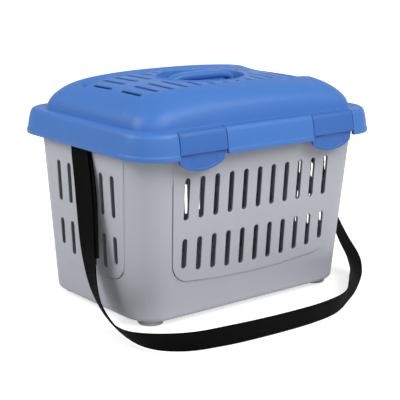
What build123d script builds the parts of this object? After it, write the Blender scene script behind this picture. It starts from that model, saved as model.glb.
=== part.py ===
"""Small animal carrier: slotted tub, domed lid, four swing clips, carry handle, shoulder strap.

Millimetres. The origin is on the floor under the middle of the tub, +X runs along the long
side, -Y is the photographed front with two clips, +Z is up.
"""

import math
import os

from build123d import *

# Overall size
LID_L = 440.0
LID_W = 320.0
LID_R = 51.0
WALL = 2.4

# Tub
FOOT_H = 8.0
FOOT_R = 18.0
FOOT_X = 158.0
FOOT_Y = 91.0
TUB_TOP = 270.0
TUB_BOTTOM_X = 191.6
TUB_BOTTOM_Y = 122.1
TUB_FLARE = 0.0603
TUB_R_BOTTOM = 45.5
TUB_R_TOP = 44.2
FLOOR_T = 2.6
FLOOR_EDGE_R = 7.0
RIM_X = 211.5
RIM_Y = 147.5
RIM_R = 47.0
LIP_T = 2.2
LIP_EDGE_R = 1.2
LIP_END_R = 1.09
LIP_BOTTOM = 248.0
PANEL_PROUD = 0.9
SLOT_W = 8.0
SLOT_PITCH = 26.0
UPPER_SLOT = (150.2, 208.7)
LOWER_SLOT_TOP = 123.2
SLOT_L = UPPER_SLOT[1] - UPPER_SLOT[0]
# Length of each lower slot as a share of an upper slot
FRONT_RATIOS = (0.71, 0.82, 0.85, 0.89, 0.90, 0.90, 0.90, 0.89, 0.85, 0.82, 0.71)
SIDE_RATIOS = (0.66, 0.84, 0.90, 0.90, 0.84, 0.66)
STRAP_WINDOW = (257.5, 265.5)

# Lid
SKIRT_BOTTOM = 240.0
BAND_TOP = 247.0
RIM_TOP = 273.0
CREASE_X = 197.0
CREASE_Y = 135.0
PANEL_DROP = 2.5
GRILLE_X = 166.0
GRILLE_Y = 91.0
GRILLE_R = 24.0
GRILLE_PITCH = 22.8
GRILLE_COLUMNS = 15
GRILLE_SLOT_W = 7.0
GRILLE_RIB = 12.0
GRILLE_SLOT_END = 76.0
DISH_A = 68.0
DISH_B = 58.0
DISH_FLOOR = 296.0
COLLAR_TOP = 326.8

# Clips
CLIP_IN = 80.7
CLIP_OUT = 161.3
CLIP_L = CLIP_OUT - CLIP_IN
CLIP_MID = (CLIP_IN + CLIP_OUT) / 2
SEAM = 0.5
PIN_Y = 151.2
PIN_Z = 269.9
BARREL_R = 2.9
PEG_R = 1.6
PEG_L = 3.2
PEG_CLEAR = 0.1
CHEEK_T = 4.2
BODY_BOTTOM = 246.0
TONGUE_BOTTOM = 221.5
TONGUE_T = 2.6

# Handle
GRIP_HALF = 62.5
GRIP_W = 16.0
GRIP_TOP = 327.5
GRIP_UNDER = 317.0
LEG_T = 9.0

# Strap
STRAP_W = 40.0
STRAP_T = 1.6
STRAP_X = 212.4
STRAP_TOP = 240.0
TAIL_X = 208.1
TAIL_SHIFT = 7.0
LOOP_TOP = 259.1


def tub_half(z):
    """Half length and half width of the tub's outer wall at height z."""
    grow = TUB_FLARE * (z - FOOT_H)
    return TUB_BOTTOM_X + grow, TUB_BOTTOM_Y + grow


# The tub's wall, its raised slotted panels, the rim with its turned-down lip, and the feet
FLOOR_X, FLOOR_Y = tub_half(FOOT_H)
TOP_X, TOP_Y = tub_half(TUB_TOP)

with BuildPart() as panel_skin:
    with BuildSketch(Plane.XY.offset(FOOT_H)):
        RectangleRounded(2 * (FLOOR_X + PANEL_PROUD), 2 * (FLOOR_Y + PANEL_PROUD), TUB_R_BOTTOM)
    with BuildSketch(Plane.XY.offset(TUB_TOP)):
        RectangleRounded(2 * (TOP_X + PANEL_PROUD), 2 * (TOP_Y + PANEL_PROUD), TUB_R_TOP)
    loft(ruled=True)

with BuildPart() as panel_windows:
    with BuildSketch(Plane.XZ) as front_outline:
        with BuildLine():
            Line((157, 244), (149.5, 90))
            RadiusArc((149.5, 90), (123, 62), 30)
            ThreePointArc((123, 62), (0, 55), (-123, 62))
            RadiusArc((-123, 62), (-149.5, 90), 30)
            Line((-149.5, 90), (-157, 244))
            Line((-157, 244), (157, 244))
        make_face()
    extrude(amount=LID_W, both=True)
    with BuildSketch(Plane.YZ) as side_outline:
        with BuildLine():
            Line((94, 244), (84, 90))
            RadiusArc((84, 90), (56, 62), 30)
            ThreePointArc((56, 62), (0, 57.5), (-56, 62))
            RadiusArc((-56, 62), (-84, 90), 30)
            Line((-84, 90), (-94, 244))
            Line((-94, 244), (94, 244))
        make_face()
    extrude(amount=LID_L, both=True)

with BuildPart() as tub:
    with BuildSketch(Plane.XY.offset(FOOT_H)):
        RectangleRounded(2 * FLOOR_X, 2 * FLOOR_Y, TUB_R_BOTTOM)
    with BuildSketch(Plane.XY.offset(TUB_TOP)):
        RectangleRounded(2 * TOP_X, 2 * TOP_Y, TUB_R_TOP)
    loft(ruled=True)
    add(panel_skin.part & panel_windows.part)
    fillet(tub.faces().sort_by(Axis.Z)[0].edges(), FLOOR_EDGE_R)
    with BuildSketch(Plane.XY.offset(FOOT_H + FLOOR_T)):
        RectangleRounded(2 * (FLOOR_X - WALL), 2 * (FLOOR_Y - WALL), TUB_R_BOTTOM - WALL)
    with BuildSketch(Plane.XY.offset(TUB_TOP)):
        RectangleRounded(2 * (TOP_X - WALL), 2 * (TOP_Y - WALL), TUB_R_TOP - WALL)
    loft(ruled=True, mode=Mode.SUBTRACT)
    fillet(tub.faces().filter_by(Axis.Z).group_by(Axis.Z)[1].edges(), FLOOR_EDGE_R - FLOOR_T)
    with BuildSketch(Plane.XY.offset(LIP_BOTTOM)):
        RectangleRounded(2 * RIM_X, 2 * RIM_Y, RIM_R)
        RectangleRounded(2 * (RIM_X - LIP_T), 2 * (RIM_Y - LIP_T), RIM_R - LIP_T, mode=Mode.SUBTRACT)
    extrude(amount=TUB_TOP - LIP_BOTTOM)
    lip_end = tub.faces().filter_by(Axis.Z).filter_by_position(Axis.Z, LIP_BOTTOM - 0.1, LIP_BOTTOM + 0.1)
    fillet(lip_end.edges(), LIP_END_R)
    lip_top = tub.faces().filter_by(Axis.Z).group_by(Axis.Z)[-1]
    fillet(max(lip_top, key=lambda f: f.outer_wire().length).outer_wire().edges(), LIP_EDGE_R)
    with BuildSketch(Plane.XY.offset(TUB_TOP - LIP_T)):
        RectangleRounded(2 * (RIM_X - LIP_EDGE_R), 2 * (RIM_Y - LIP_EDGE_R), RIM_R - LIP_EDGE_R)
        RectangleRounded(2 * (TOP_X - 1), 2 * (TOP_Y - 1), TUB_R_TOP - 1, mode=Mode.SUBTRACT)
    extrude(amount=LIP_T)
    with BuildSketch(Plane.XZ):
        for i, ratio in enumerate(FRONT_RATIOS):
            x = (i - 5) * SLOT_PITCH
            low = SLOT_L * ratio
            with Locations((x, (UPPER_SLOT[0] + UPPER_SLOT[1]) / 2)):
                SlotOverall(SLOT_L, SLOT_W, rotation=90)
            with Locations((x, LOWER_SLOT_TOP - low / 2)):
                SlotOverall(low, SLOT_W, rotation=90)
    extrude(amount=LID_W, both=True, mode=Mode.SUBTRACT)
    with BuildSketch(Plane.YZ):
        for i, ratio in enumerate(SIDE_RATIOS):
            y = (i - 2.5) * SLOT_PITCH
            low = SLOT_L * ratio
            with Locations((y, (UPPER_SLOT[0] + UPPER_SLOT[1]) / 2)):
                SlotOverall(SLOT_L, SLOT_W, rotation=90)
            with Locations((y, LOWER_SLOT_TOP - low / 2)):
                SlotOverall(low, SLOT_W, rotation=90)
    extrude(amount=LID_L, both=True, mode=Mode.SUBTRACT)
    with BuildSketch(Plane.YZ.offset(TOP_X + 1.0)):
        with Locations((0, sum(STRAP_WINDOW) / 2)):
            RectangleRounded(STRAP_W + 4, STRAP_WINDOW[1] - STRAP_WINDOW[0], 2)
    extrude(amount=20, mode=Mode.SUBTRACT)
    with BuildSketch(Plane.YZ.offset(-TOP_X - 1.0)):
        with Locations((0, sum(STRAP_WINDOW) / 2)):
            RectangleRounded(STRAP_W + 4, STRAP_WINDOW[1] - STRAP_WINDOW[0], 2)
    extrude(amount=-20, mode=Mode.SUBTRACT)
    with BuildSketch():
        with GridLocations(2 * FOOT_X, 2 * FOOT_Y, 2, 2):
            Circle(FOOT_R)
    extrude(amount=FOOT_H + 1)
    fillet(tub.faces().sort_by(Axis.Z)[:4].edges(), 2)

# The dome's level curves: half length, half width, corner radius, height
DOME = (
    (CREASE_X, CREASE_Y, 37, RIM_TOP - 1),
    (192, 133.5, 37, 286),
    (180, 128, 38, 300),
    (160.5, 114.7, 38, 312),
    (128, 99, 36, 320),
    (70, 84, 34, 324.6),
)


def dome_sections(inset, drop):
    """Level curves of the dome moved inwards by inset and down by drop, drop growing to the top."""
    top = DOME[-1][3] - DOME[0][3]
    rows = []
    for half_x, half_y, radius, z in DOME:
        share = (z - DOME[0][3]) / top
        rows.append((half_x - inset, half_y - inset, radius - min(inset, 3), z - drop * share))
    return rows


with BuildPart() as dome_low:
    for half_x, half_y, radius, z in dome_sections(0, PANEL_DROP):
        with BuildSketch(Plane.XY.offset(z)):
            RectangleRounded(2 * half_x, 2 * half_y, radius)
    loft()

with BuildPart() as grille_recess:
    with BuildSketch(Plane.XY.offset(RIM_TOP + 20)):
        RectangleRounded(2 * GRILLE_X, 2 * GRILLE_Y, GRILLE_R)
        Ellipse(DISH_A + 7, DISH_B + 7, mode=Mode.SUBTRACT)
    extrude(amount=60)
    add(dome_low.part, mode=Mode.SUBTRACT)

with BuildPart() as lid:
    with BuildSketch(Plane.XY.offset(BAND_TOP)):
        RectangleRounded(LID_L - 2.8, LID_W - 2.8, LID_R - 1)
    with BuildSketch(Plane.XY.offset(RIM_TOP)):
        RectangleRounded(LID_L - 10, LID_W - 12, LID_R - 3)
    loft(ruled=True)
    fillet(lid.faces().sort_by(Axis.Z)[-1].edges(), 2.5)
    with BuildSketch(Plane.XY.offset(SKIRT_BOTTOM)):
        RectangleRounded(LID_L, LID_W, LID_R)
    extrude(amount=BAND_TOP - SKIRT_BOTTOM)
    for half_x, half_y, radius, z in dome_sections(0, 0):
        with BuildSketch(Plane.XY.offset(z)):
            RectangleRounded(2 * half_x, 2 * half_y, radius)
    loft()
    with BuildSketch(Plane.XY.offset(SKIRT_BOTTOM)):
        RectangleRounded(LID_L - 5.6, LID_W - 5.6, LID_R - 2.4)
    with BuildSketch(Plane.XY.offset(TUB_TOP)):
        RectangleRounded(LID_L - 14.8, LID_W - 16.8, LID_R - 5)
    loft(ruled=True, mode=Mode.SUBTRACT)
    for half_x, half_y, radius, z in dome_sections(2.6, 5.2):
        with BuildSketch(Plane.XY.offset(z - 2.1)):
            RectangleRounded(2 * half_x, 2 * half_y, radius)
    loft(mode=Mode.SUBTRACT)
    add(grille_recess.part, mode=Mode.SUBTRACT)
    with BuildSketch(Plane.XY.offset(DISH_FLOOR - WALL)):
        Ellipse(DISH_A, DISH_B)
    with BuildSketch(Plane.XY.offset(COLLAR_TOP)):
        Ellipse(DISH_A + 3.6, DISH_B + 3.6)
    loft(ruled=True)
    with BuildSketch(Plane.XY.offset(DISH_FLOOR)):
        Ellipse(DISH_A - 3, DISH_B - 3)
    with BuildSketch(Plane.XY.offset(COLLAR_TOP)):
        Ellipse(DISH_A, DISH_B)
    loft(ruled=True, mode=Mode.SUBTRACT)
    with BuildSketch(Plane.XY.offset(RIM_TOP + 20)):
        for i in range(GRILLE_COLUMNS):
            x = (i - (GRILLE_COLUMNS - 1) / 2) * GRILLE_PITCH
            end = GRILLE_SLOT_END - 24 * max(0, (abs(x) - 110) / 50) ** 2
            reach = max(0, 1 - (x / (DISH_A + 7)) ** 2)
            start = max(GRILLE_RIB, (DISH_B + 7) * math.sqrt(reach) + 2)
            with Locations((x, (start + end) / 2), (x, -(start + end) / 2)):
                SlotOverall(end - start, GRILLE_SLOT_W, rotation=90)
    extrude(amount=60, mode=Mode.SUBTRACT)
    for side in (-1, 1):
        for end in (-1, 1):
            cut = Plane(origin=(end * CLIP_MID, side * (PIN_Y - 3.3), SKIRT_BOTTOM - 1))
            with BuildSketch(cut):
                with Locations((0, side * 10)):
                    Rectangle(CLIP_L + 2 * SEAM, 20)
            extrude(amount=40, mode=Mode.SUBTRACT)
            for edge in (-1, 1):
                inner = end * CLIP_MID + edge * (CLIP_L / 2 + SEAM)
                cheek = Plane(origin=(inner, side * PIN_Y, PIN_Z), x_dir=(0, 1, 0), z_dir=(edge, 0, 0))
                with BuildSketch(cheek):
                    with Locations((0, 0)):
                        Rectangle(5.6, 2 * (RIM_TOP - 1.5 - PIN_Z))
                    with Locations((0, 3 * (1 if cheek.y_dir.Z < 0 else -1))):
                        Rectangle(5.6, 5)
                extrude(amount=CHEEK_T)
                with BuildSketch(cheek):
                    Circle(PEG_R + PEG_CLEAR)
                extrude(amount=CHEEK_T, mode=Mode.SUBTRACT)
    with BuildSketch(Plane.XY.offset(DISH_FLOOR - WALL)):
        with Locations((GRIP_HALF - LEG_T / 2 - 2, 0), (-GRIP_HALF + LEG_T / 2 + 2, 0)):
            Circle(3.1)
    extrude(amount=WALL, mode=Mode.SUBTRACT)


def clip(name, end, side):
    """One swing clip: barrel and pegs, outer skin, stepped tongue, hook ledge under the tub's lip."""
    section = Plane(origin=(end * CLIP_IN, 0, 0), x_dir=(0, side, 0), z_dir=(end, 0, 0))
    up = 1 if section.y_dir.Z > 0 else -1
    with BuildPart() as part:
        with BuildSketch(section):
            with Locations((PIN_Y, up * PIN_Z)):
                Circle(BARREL_R)
            with BuildLine():
                Polyline(
                    (PIN_Y, up * (PIN_Z + BARREL_R)),
                    (152.8, up * 272.6),
                    (154.4, up * 271.2),
                    (158.8, up * BODY_BOTTOM),
                    (152.9, up * BODY_BOTTOM),
                    (152.9, up * (BODY_BOTTOM + 2.4)),
                    (156.0, up * (BODY_BOTTOM + 2.4)),
                    (152.6, up * (PIN_Z - 2.5)),
                    (PIN_Y, up * PIN_Z),
                    close=True,
                )
            make_face()
        extrude(amount=CLIP_L)
        mid = end * CLIP_MID
        front = Plane(origin=(mid, side * 152.4, 0), x_dir=(-side, 0, 0), z_dir=(0, side, 0))
        with BuildSketch(front):
            with BuildLine():
                Line((40, BODY_BOTTOM + 1), (38.5, 233))
                ThreePointArc((38.5, 233), (0, TONGUE_BOTTOM), (-38.5, 233))
                Line((-38.5, 233), (-40, BODY_BOTTOM + 1))
                Line((-40, BODY_BOTTOM + 1), (40, BODY_BOTTOM + 1))
            make_face()
        extrude(amount=TONGUE_T)
        with BuildSketch(front.offset(TONGUE_T)):
            with Locations((0, 233.5)):
                Ellipse(15, 6.5)
        extrude(amount=-0.8, mode=Mode.SUBTRACT)
        with BuildSketch(Plane.XY.offset(245.5)):
            with Locations((mid, side * 149.1)):
                Rectangle(60, 8.6)
        extrude(amount=2.2)
        with BuildSketch(Plane(origin=(mid, side * PIN_Y, PIN_Z), x_dir=(0, 1, 0), z_dir=(1, 0, 0))):
            Circle(PEG_R)
        extrude(amount=CLIP_L / 2 + PEG_L, both=True)
    part.part.label = name
    return part.part


pieces = [
    clip("clip_front_left", -1, -1),
    clip("clip_front_right", 1, -1),
    clip("clip_rear_left", -1, 1),
    clip("clip_rear_right", 1, 1),
]

# The handle: an arched grip bridging the dish, on two legs that snap through the dish's floor
with BuildPart() as carry_handle:
    with BuildSketch(Plane.XZ):
        with BuildLine():
            ThreePointArc((-GRIP_HALF + 5, 323.5), (0, GRIP_TOP), (GRIP_HALF - 5, 323.5))
            RadiusArc((GRIP_HALF - 5, 323.5), (GRIP_HALF, 318), 6)
            Line((GRIP_HALF, 318), (GRIP_HALF - 2, DISH_FLOOR))
            Line((GRIP_HALF - 2, DISH_FLOOR), (GRIP_HALF - 2 - LEG_T, DISH_FLOOR))
            Line((GRIP_HALF - 2 - LEG_T, DISH_FLOOR), (GRIP_HALF - 3 - LEG_T, 313))
            ThreePointArc((GRIP_HALF - 3 - LEG_T, 313), (0, GRIP_UNDER), (LEG_T + 3 - GRIP_HALF, 313))
            Line((LEG_T + 3 - GRIP_HALF, 313), (LEG_T + 2 - GRIP_HALF, DISH_FLOOR))
            Line((LEG_T + 2 - GRIP_HALF, DISH_FLOOR), (2 - GRIP_HALF, DISH_FLOOR))
            Line((2 - GRIP_HALF, DISH_FLOOR), (-GRIP_HALF, 318))
            RadiusArc((-GRIP_HALF, 318), (-GRIP_HALF + 5, 323.5), 6)
        make_face()
    extrude(amount=GRIP_W / 2, both=True)
    long_edges = carry_handle.faces().filter_by(Axis.Y).edges()
    fillet(long_edges.filter_by(lambda e: e.center().Z > DISH_FLOOR + 1), 3)
    with BuildSketch(Plane.XY.offset(DISH_FLOOR)):
        with Locations((GRIP_HALF - LEG_T / 2 - 2, 0), (-GRIP_HALF + LEG_T / 2 + 2, 0)):
            Circle(3.0)
    extrude(amount=-6)
    with BuildSketch(Plane.XY.offset(DISH_FLOOR - WALL - 0.3)):
        with Locations((GRIP_HALF - LEG_T / 2 - 2, 0), (-GRIP_HALF + LEG_T / 2 + 2, 0)):
            Circle(4.0)
    extrude(amount=-1.8)

# The strap's free run: middle of the band and direction across it, from the left end to the right
STRAP_ROUTE = (
    ((-212.4, 0, 240), (0, -1, 0)),
    ((-212.4, 0, 232), (0, -1, 0)),
    ((-211.8, -6, 195), (0.02, -0.99, 0.1)),
    ((-212.5, -12, 158), (0.02, -0.98, 0.15)),
    ((-215, -19, 127), (0, -0.97, 0.23)),
    ((-219, -28, 97), (-0.03, -0.92, 0.38)),
    ((-225, -43, 70), (-0.13, -0.78, 0.6)),
    ((-234, -65, 50), (-0.25, -0.55, 0.8)),
    ((-243, -92, 36), (-0.43, -0.35, 0.83)),
    ((-248, -122, 25), (-0.57, -0.3, 0.77)),
    ((-246, -153, 18), (-0.6, -0.35, 0.72)),
    ((-234, -183, 17), (-0.45, -0.43, 0.78)),
    ((-214, -208, 18), (-0.27, -0.47, 0.82)),
    ((-185, -224, 18.5), (-0.15, -0.5, 0.85)),
    ((-153, -231, 19), (-0.08, -0.48, 0.88)),
    ((-121, -236, 19), (-0.05, -0.46, 0.88)),
    ((-89, -239, 19), (-0.03, -0.47, 0.88)),
    ((-58, -241, 19), (-0.02, -0.47, 0.88)),
    ((-26, -242, 19), (0, -0.47, 0.88)),
    ((6, -242, 19), (0.03, -0.47, 0.88)),
    ((38, -239, 19), (0.06, -0.45, 0.89)),
    ((69, -233, 19), (0.07, -0.42, 0.9)),
    ((98, -218, 20), (0.02, -0.3, 0.95)),
    ((124, -198, 21), (-0.08, -0.1, 0.99)),
    ((151, -178, 22), (-0.17, 0.12, 0.98)),
    ((178, -157, 21), (-0.24, 0.36, 0.9)),
    ((204, -137, 22), (-0.4, 0.4, 0.82)),
    ((220, -118, 37), (-0.72, 0.1, 0.66)),
    ((230, -105, 61), (-0.83, -0.28, 0.48)),
    ((232, -88, 87), (-0.67, -0.57, 0.47)),
    ((231, -68, 112), (-0.45, -0.75, 0.48)),
    ((228, -49, 137), (-0.23, -0.85, 0.47)),
    ((225, -33, 164), (-0.1, -0.9, 0.42)),
    ((221, -18, 192), (-0.03, -0.93, 0.37)),
    ((216, -6, 219), (0, -0.98, 0.18)),
    ((212.4, 0, 232), (0, -1, 0)),
    ((212.4, 0, 240), (0, -1, 0)),
)


def band_plane(i):
    """Section plane of the band at route point i: local x across the band, z along it."""
    before = Vector(*STRAP_ROUTE[max(i - 1, 0)][0])
    after = Vector(*STRAP_ROUTE[min(i + 1, len(STRAP_ROUTE) - 1)][0])
    along = (after - before).normalized()
    across = Vector(*STRAP_ROUTE[i][1])
    across = (across - along * across.dot(along)).normalized()
    return Plane(origin=STRAP_ROUTE[i][0], x_dir=across, z_dir=along)


with BuildPart() as shoulder_strap:
    for i in range(len(STRAP_ROUTE)):
        with BuildSketch(band_plane(i)):
            Rectangle(STRAP_W, STRAP_T)
    loft(ruled=True)


def strap_loop(name, side, rows):
    """Webbing end round the lip's lower bar, with its doubled tail hanging behind the free run."""
    inner = side * TAIL_X
    outer = side * STRAP_X
    half = side * STRAP_T / 2
    with BuildPart() as part:
        with BuildSketch(Plane.XZ):
            with BuildLine():
                Polyline(
                    (outer + half, STRAP_TOP),
                    (outer + half, LOOP_TOP),
                    (inner - half, LOOP_TOP),
                    (inner - half, STRAP_TOP - 4),
                    (inner + half, STRAP_TOP - 4),
                    (inner + half, LOOP_TOP - STRAP_T),
                    (outer - half, LOOP_TOP - STRAP_T),
                    (outer - half, STRAP_TOP),
                    close=True,
                )
            make_face()
        extrude(amount=STRAP_W / 2, both=True)
        with BuildSketch(Plane(origin=(inner, 0, STRAP_TOP - 4), x_dir=(0, -1, 0), z_dir=(0, 0, -1))):
            Rectangle(STRAP_W, STRAP_T)
        for i in rows:
            run = band_plane(i)
            shift = run.x_dir * TAIL_SHIFT - run.y_dir * (STRAP_T + 0.3)
            with BuildSketch(Plane(origin=run.origin + shift, x_dir=run.x_dir, z_dir=run.z_dir * rows.step)):
                Rectangle(STRAP_W, STRAP_T)
        loft(ruled=True)
    part.part.label = name
    return part.part


LAST = len(STRAP_ROUTE) - 1
pieces.append(strap_loop("strap_loop_left", -1, range(2, 6)))
pieces.append(strap_loop("strap_loop_right", 1, range(LAST - 2, LAST - 5, -1)))

tub.part.label = "tub"
lid.part.label = "lid"
carry_handle.part.label = "carry_handle"
shoulder_strap.part.label = "shoulder_strap"
pieces += [tub.part, lid.part, carry_handle.part, shoulder_strap.part]

os.makedirs("parts", exist_ok=True)
for piece in pieces:
    export_step(piece, f"parts/{piece.label}.step")
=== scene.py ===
# %% [markdown]
# # Small animal carrier
#
# A slotted grey tub on four feet, a blue domed lid that four swing clips hold down, a grip sunk into
# a dish in the lid's top, and a black webbing strap that lies on the floor in front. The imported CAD
# model gives the frame: its bodies carry every piece made here. Lengths are written in millimetres,
# as on a drawing, and turned into metres where a mesh is made.

import math

import bpy
import numpy as np
from mathutils import Matrix, Vector
from mathutils.geometry import delaunay_2d_cdt


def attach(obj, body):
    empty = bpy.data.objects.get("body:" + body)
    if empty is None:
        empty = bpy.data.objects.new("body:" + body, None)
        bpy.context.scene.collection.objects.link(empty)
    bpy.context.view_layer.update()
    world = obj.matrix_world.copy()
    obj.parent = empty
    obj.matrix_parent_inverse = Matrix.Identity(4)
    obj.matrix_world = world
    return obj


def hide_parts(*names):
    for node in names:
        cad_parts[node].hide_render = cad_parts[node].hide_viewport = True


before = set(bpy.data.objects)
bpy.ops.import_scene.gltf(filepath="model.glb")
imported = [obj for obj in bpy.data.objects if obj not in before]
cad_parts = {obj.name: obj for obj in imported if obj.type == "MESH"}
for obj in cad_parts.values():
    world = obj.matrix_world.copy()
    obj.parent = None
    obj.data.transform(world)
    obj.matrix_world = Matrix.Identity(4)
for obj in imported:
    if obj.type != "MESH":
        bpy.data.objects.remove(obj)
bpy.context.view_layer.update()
MM = 0.001

# %% [markdown]
# ## Camera
#
# The photograph shows the carrier from the front left and a little above, with a long lens, so the
# upright edges hardly lean. The camera is turned in three plain steps: a turn about the upright axis,
# a tilt down and a very small roll. Depth of field stays off, so any other view is sharp too.

# %% Camera
CAMERA_AT = (-1050.43, -1271.80, 540.17)
CAMERA_TURN, CAMERA_DOWN, CAMERA_ROLL = (math.radians(a) for a in (-39.637, 13.854, 0.88))

camera_data = bpy.data.cameras.new("camera")
camera_data.lens = 101.55
camera_data.sensor_width = 36.0
camera_data.clip_start, camera_data.clip_end = 0.05, 50.0
camera = bpy.data.objects.new("camera", camera_data)
bpy.context.scene.collection.objects.link(camera)
camera.matrix_world = (
    Matrix.Translation([v * MM for v in CAMERA_AT])
    @ Matrix.Rotation(CAMERA_TURN, 4, "Z")
    @ Matrix.Rotation(math.pi / 2 - CAMERA_DOWN, 4, "X")
    @ Matrix.Rotation(CAMERA_ROLL, 4, "Z")
)
bpy.context.scene.camera = camera
print("camera", [round(v, 3) for v in camera.location])

# %% [markdown]
# ## Skins made with numpy
#
# Moulded plastic is a thin wall of one thickness: an outer skin, an inner skin behind it, and a
# narrow wall along every free edge, as round a slot. So each moulded piece here is one net of
# triangles used twice. `grid_cells` gives the net of a surface that has rows and columns. Where
# slots have to be cut out, `flat_net` lays a net of triangles over a flat outline and keeps the lines
# it is given. `shell` puts the two skins and their edge walls together.

# %% Nets of triangles
def grid_cells(rows, columns, closed=True):
    """Triangles of a grid: cell (i, j) gives (i,j) (i,j+1) (i+1,j+1) and (i,j) (i+1,j+1) (i+1,j)."""
    i, j = np.meshgrid(np.arange(rows - 1), np.arange(columns if closed else columns - 1), indexing="ij")
    a, b = i * columns + j, i * columns + (j + 1) % columns
    return np.stack([a, b, b + columns, a, b + columns, a + columns], -1).reshape(*i.shape, 2, 3)


def loop_links(count, start=0, closed=True):
    """Pairs of neighbours along a line of points."""
    a = np.arange(count if closed else count - 1)
    return np.stack([a, (a + 1) % count], 1) + start


def flat_net(outline, loops=(), lines=(), dots=None, drop=None):
    """A flat net of triangles inside a closed outline, with given loops and open lines as edges.

    drop(centres) says which triangles are left out, such as those in a slot. Also returned: for each
    point of the net the number of the outline's point that it is, or -1.
    """
    groups = [(outline, True), *((p, True) for p in loops), *((p, False) for p in lines)]
    starts = np.cumsum([0] + [len(p) for p, _ in groups])
    links = np.concatenate([loop_links(len(p), s, c) for (p, c), s in zip(groups, starts)])
    given = np.concatenate([p for p, _ in groups] + ([dots] if dots is not None else []))
    points, _, faces, came_from, _, _ = delaunay_2d_cdt(given.tolist(), links.tolist(), [], 0, 1e-5)
    points, faces = np.array(points, float), np.array(faces)
    first = np.array([k[0] if k else -1 for k in came_from])
    a, b, c = (points[faces[:, k]] for k in range(3))
    turn = np.cross(b - a, c - a)
    faces = np.where((turn < 0)[:, None], faces[:, ::-1], faces)
    centres = (a + b + c) / 3
    keep = (np.abs(turn) > 1e-7) & (outline_gap(centres, outline) < 0)
    if drop is not None:
        keep &= ~drop(centres)
    return points, faces[keep], np.where((first >= 0) & (first < len(outline)), first, -1)


def outline_gap(points, outline):
    """Distance from each point to a closed outline of straight pieces, below zero inside it."""
    a, b = outline, np.roll(outline, -1, axis=0)
    run = b - a
    share = ((points[:, None] - a) * run).sum(-1) / np.maximum((run * run).sum(-1), 1e-12)
    gap = np.linalg.norm(points[:, None] - a - np.clip(share, 0, 1)[..., None] * run, axis=-1).min(1)
    high, at = points[:, 1:], a[:, 1]
    crosses = (at > high) != (b[:, 1] > high)
    where = a[:, 0] + (high - at) / np.where(run[:, 1] == 0, 1e-12, run[:, 1]) * run[:, 0]
    inside = (crosses & (points[:, :1] < where)).sum(1) % 2 == 1
    return np.where(inside, -gap, gap)


# %% Shells with two skins
def welded(outer, inner, faces):
    """Merges the points where skins made apart meet, and drops triangles left without area."""
    _, first, back = np.unique(np.round(outer + 0.00137, 2), axis=0, return_index=True, return_inverse=True)
    faces = back.ravel()[faces]
    flat = (faces[:, 0] == faces[:, 1]) | (faces[:, 1] == faces[:, 2]) | (faces[:, 2] == faces[:, 0])
    return outer[first], inner[first], faces[~flat]


def shell(outer, inner, faces):
    """Outer skin, inner skin turned to face the other way, and a wall along each free edge."""
    count = len(outer)
    edges = np.concatenate([faces[:, [0, 1]], faces[:, [1, 2]], faces[:, [2, 0]]])
    _, first, times = np.unique(np.sort(edges, 1), axis=0, return_index=True, return_counts=True)
    a, b = edges[first[times == 1]].T
    walls = np.concatenate([np.stack([b, a, a + count], 1), np.stack([b, a + count, b + count], 1)])
    return np.concatenate([outer, inner]), np.concatenate([faces, faces[:, ::-1] + count, walls])


def face_turns(points, faces):
    """Outward direction at each point: the sum of its triangles' directions, made one long."""
    a, b, c = (points[faces[:, k]] for k in range(3))
    turn = np.cross(b - a, c - a)
    total = np.zeros_like(points)
    np.add.at(total, faces.ravel(), np.repeat(turn, 3, axis=0))
    return total / np.maximum(np.linalg.norm(total, axis=1, keepdims=True), 1e-9)


def joined(*skins):
    """Several skins as one: points stacked, faces renumbered."""
    starts = np.cumsum([0] + [len(p) for p, _ in skins[:-1]])
    return np.concatenate([p for p, _ in skins]), np.concatenate([f + s for (_, f), s in zip(skins, starts)])


def mesh_piece(name, skin, body, material, replaces=(), sharp=38, even=True):
    """An object at the origin from a skin in millimetres, shaded smooth with its sharp edges kept."""
    points, faces = skin
    used, back = np.unique(faces, return_inverse=True)
    mesh = bpy.data.meshes.new(name)
    mesh.from_pydata((points[used] * MM).tolist(), [], back.reshape(faces.shape).tolist())
    mesh.validate()
    mesh.shade_smooth()
    mesh.set_sharp_from_angle(angle=math.radians(sharp))
    mesh.materials.append(material)
    piece = bpy.data.objects.new(name, mesh)
    bpy.context.scene.collection.objects.link(piece)
    if even:
        modifier = piece.modifiers.new("flat_faces_lead", "WEIGHTED_NORMAL")
        modifier.keep_sharp = True
        modifier.weight = 60
    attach(piece, body)
    if replaces:
        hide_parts(*replaces)
    print(f"{name}: {len(used)} points, {len(faces)} faces")
    return piece


# %% [markdown]
# ## Rounded rectangles and smooth lines
#
# From above, tub and lid are rounded rectangles that change size with height. A point of such an
# outline is an anchor held inside the core rectangle, plus the corner radius along the point's own
# direction. One set of anchors and directions therefore fits every height, and the columns of all
# rows line up.

# %% Outlines and lines
FAR = 1000.0


def round_columns(front, side, steps):
    """Anchors and directions once round, seen from above, counter-clockwise from the front's left."""
    turn = np.linspace(0, math.pi / 2, steps + 1)
    front, side = np.asarray(front, float), np.asarray(side, float)
    parts = []
    for k, along in enumerate((front, side, front, side)):
        straight = np.stack([along, np.full(len(along), -FAR)], 1)
        corner = np.tile([FAR, -FAR], (len(turn), 1))
        anchor = np.concatenate([straight, corner])
        facing = np.concatenate([np.tile([0.0, -1.0], (len(along), 1)),
            np.stack([np.sin(turn), -np.cos(turn)], 1)])
        spin = np.array([[math.cos(k * math.pi / 2), -math.sin(k * math.pi / 2)],
                         [math.sin(k * math.pi / 2), math.cos(k * math.pi / 2)]]).round(12)
        parts.append((anchor @ spin.T, facing @ spin.T))
    return np.concatenate([p[0] for p in parts]), np.concatenate([p[1] for p in parts])


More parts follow.
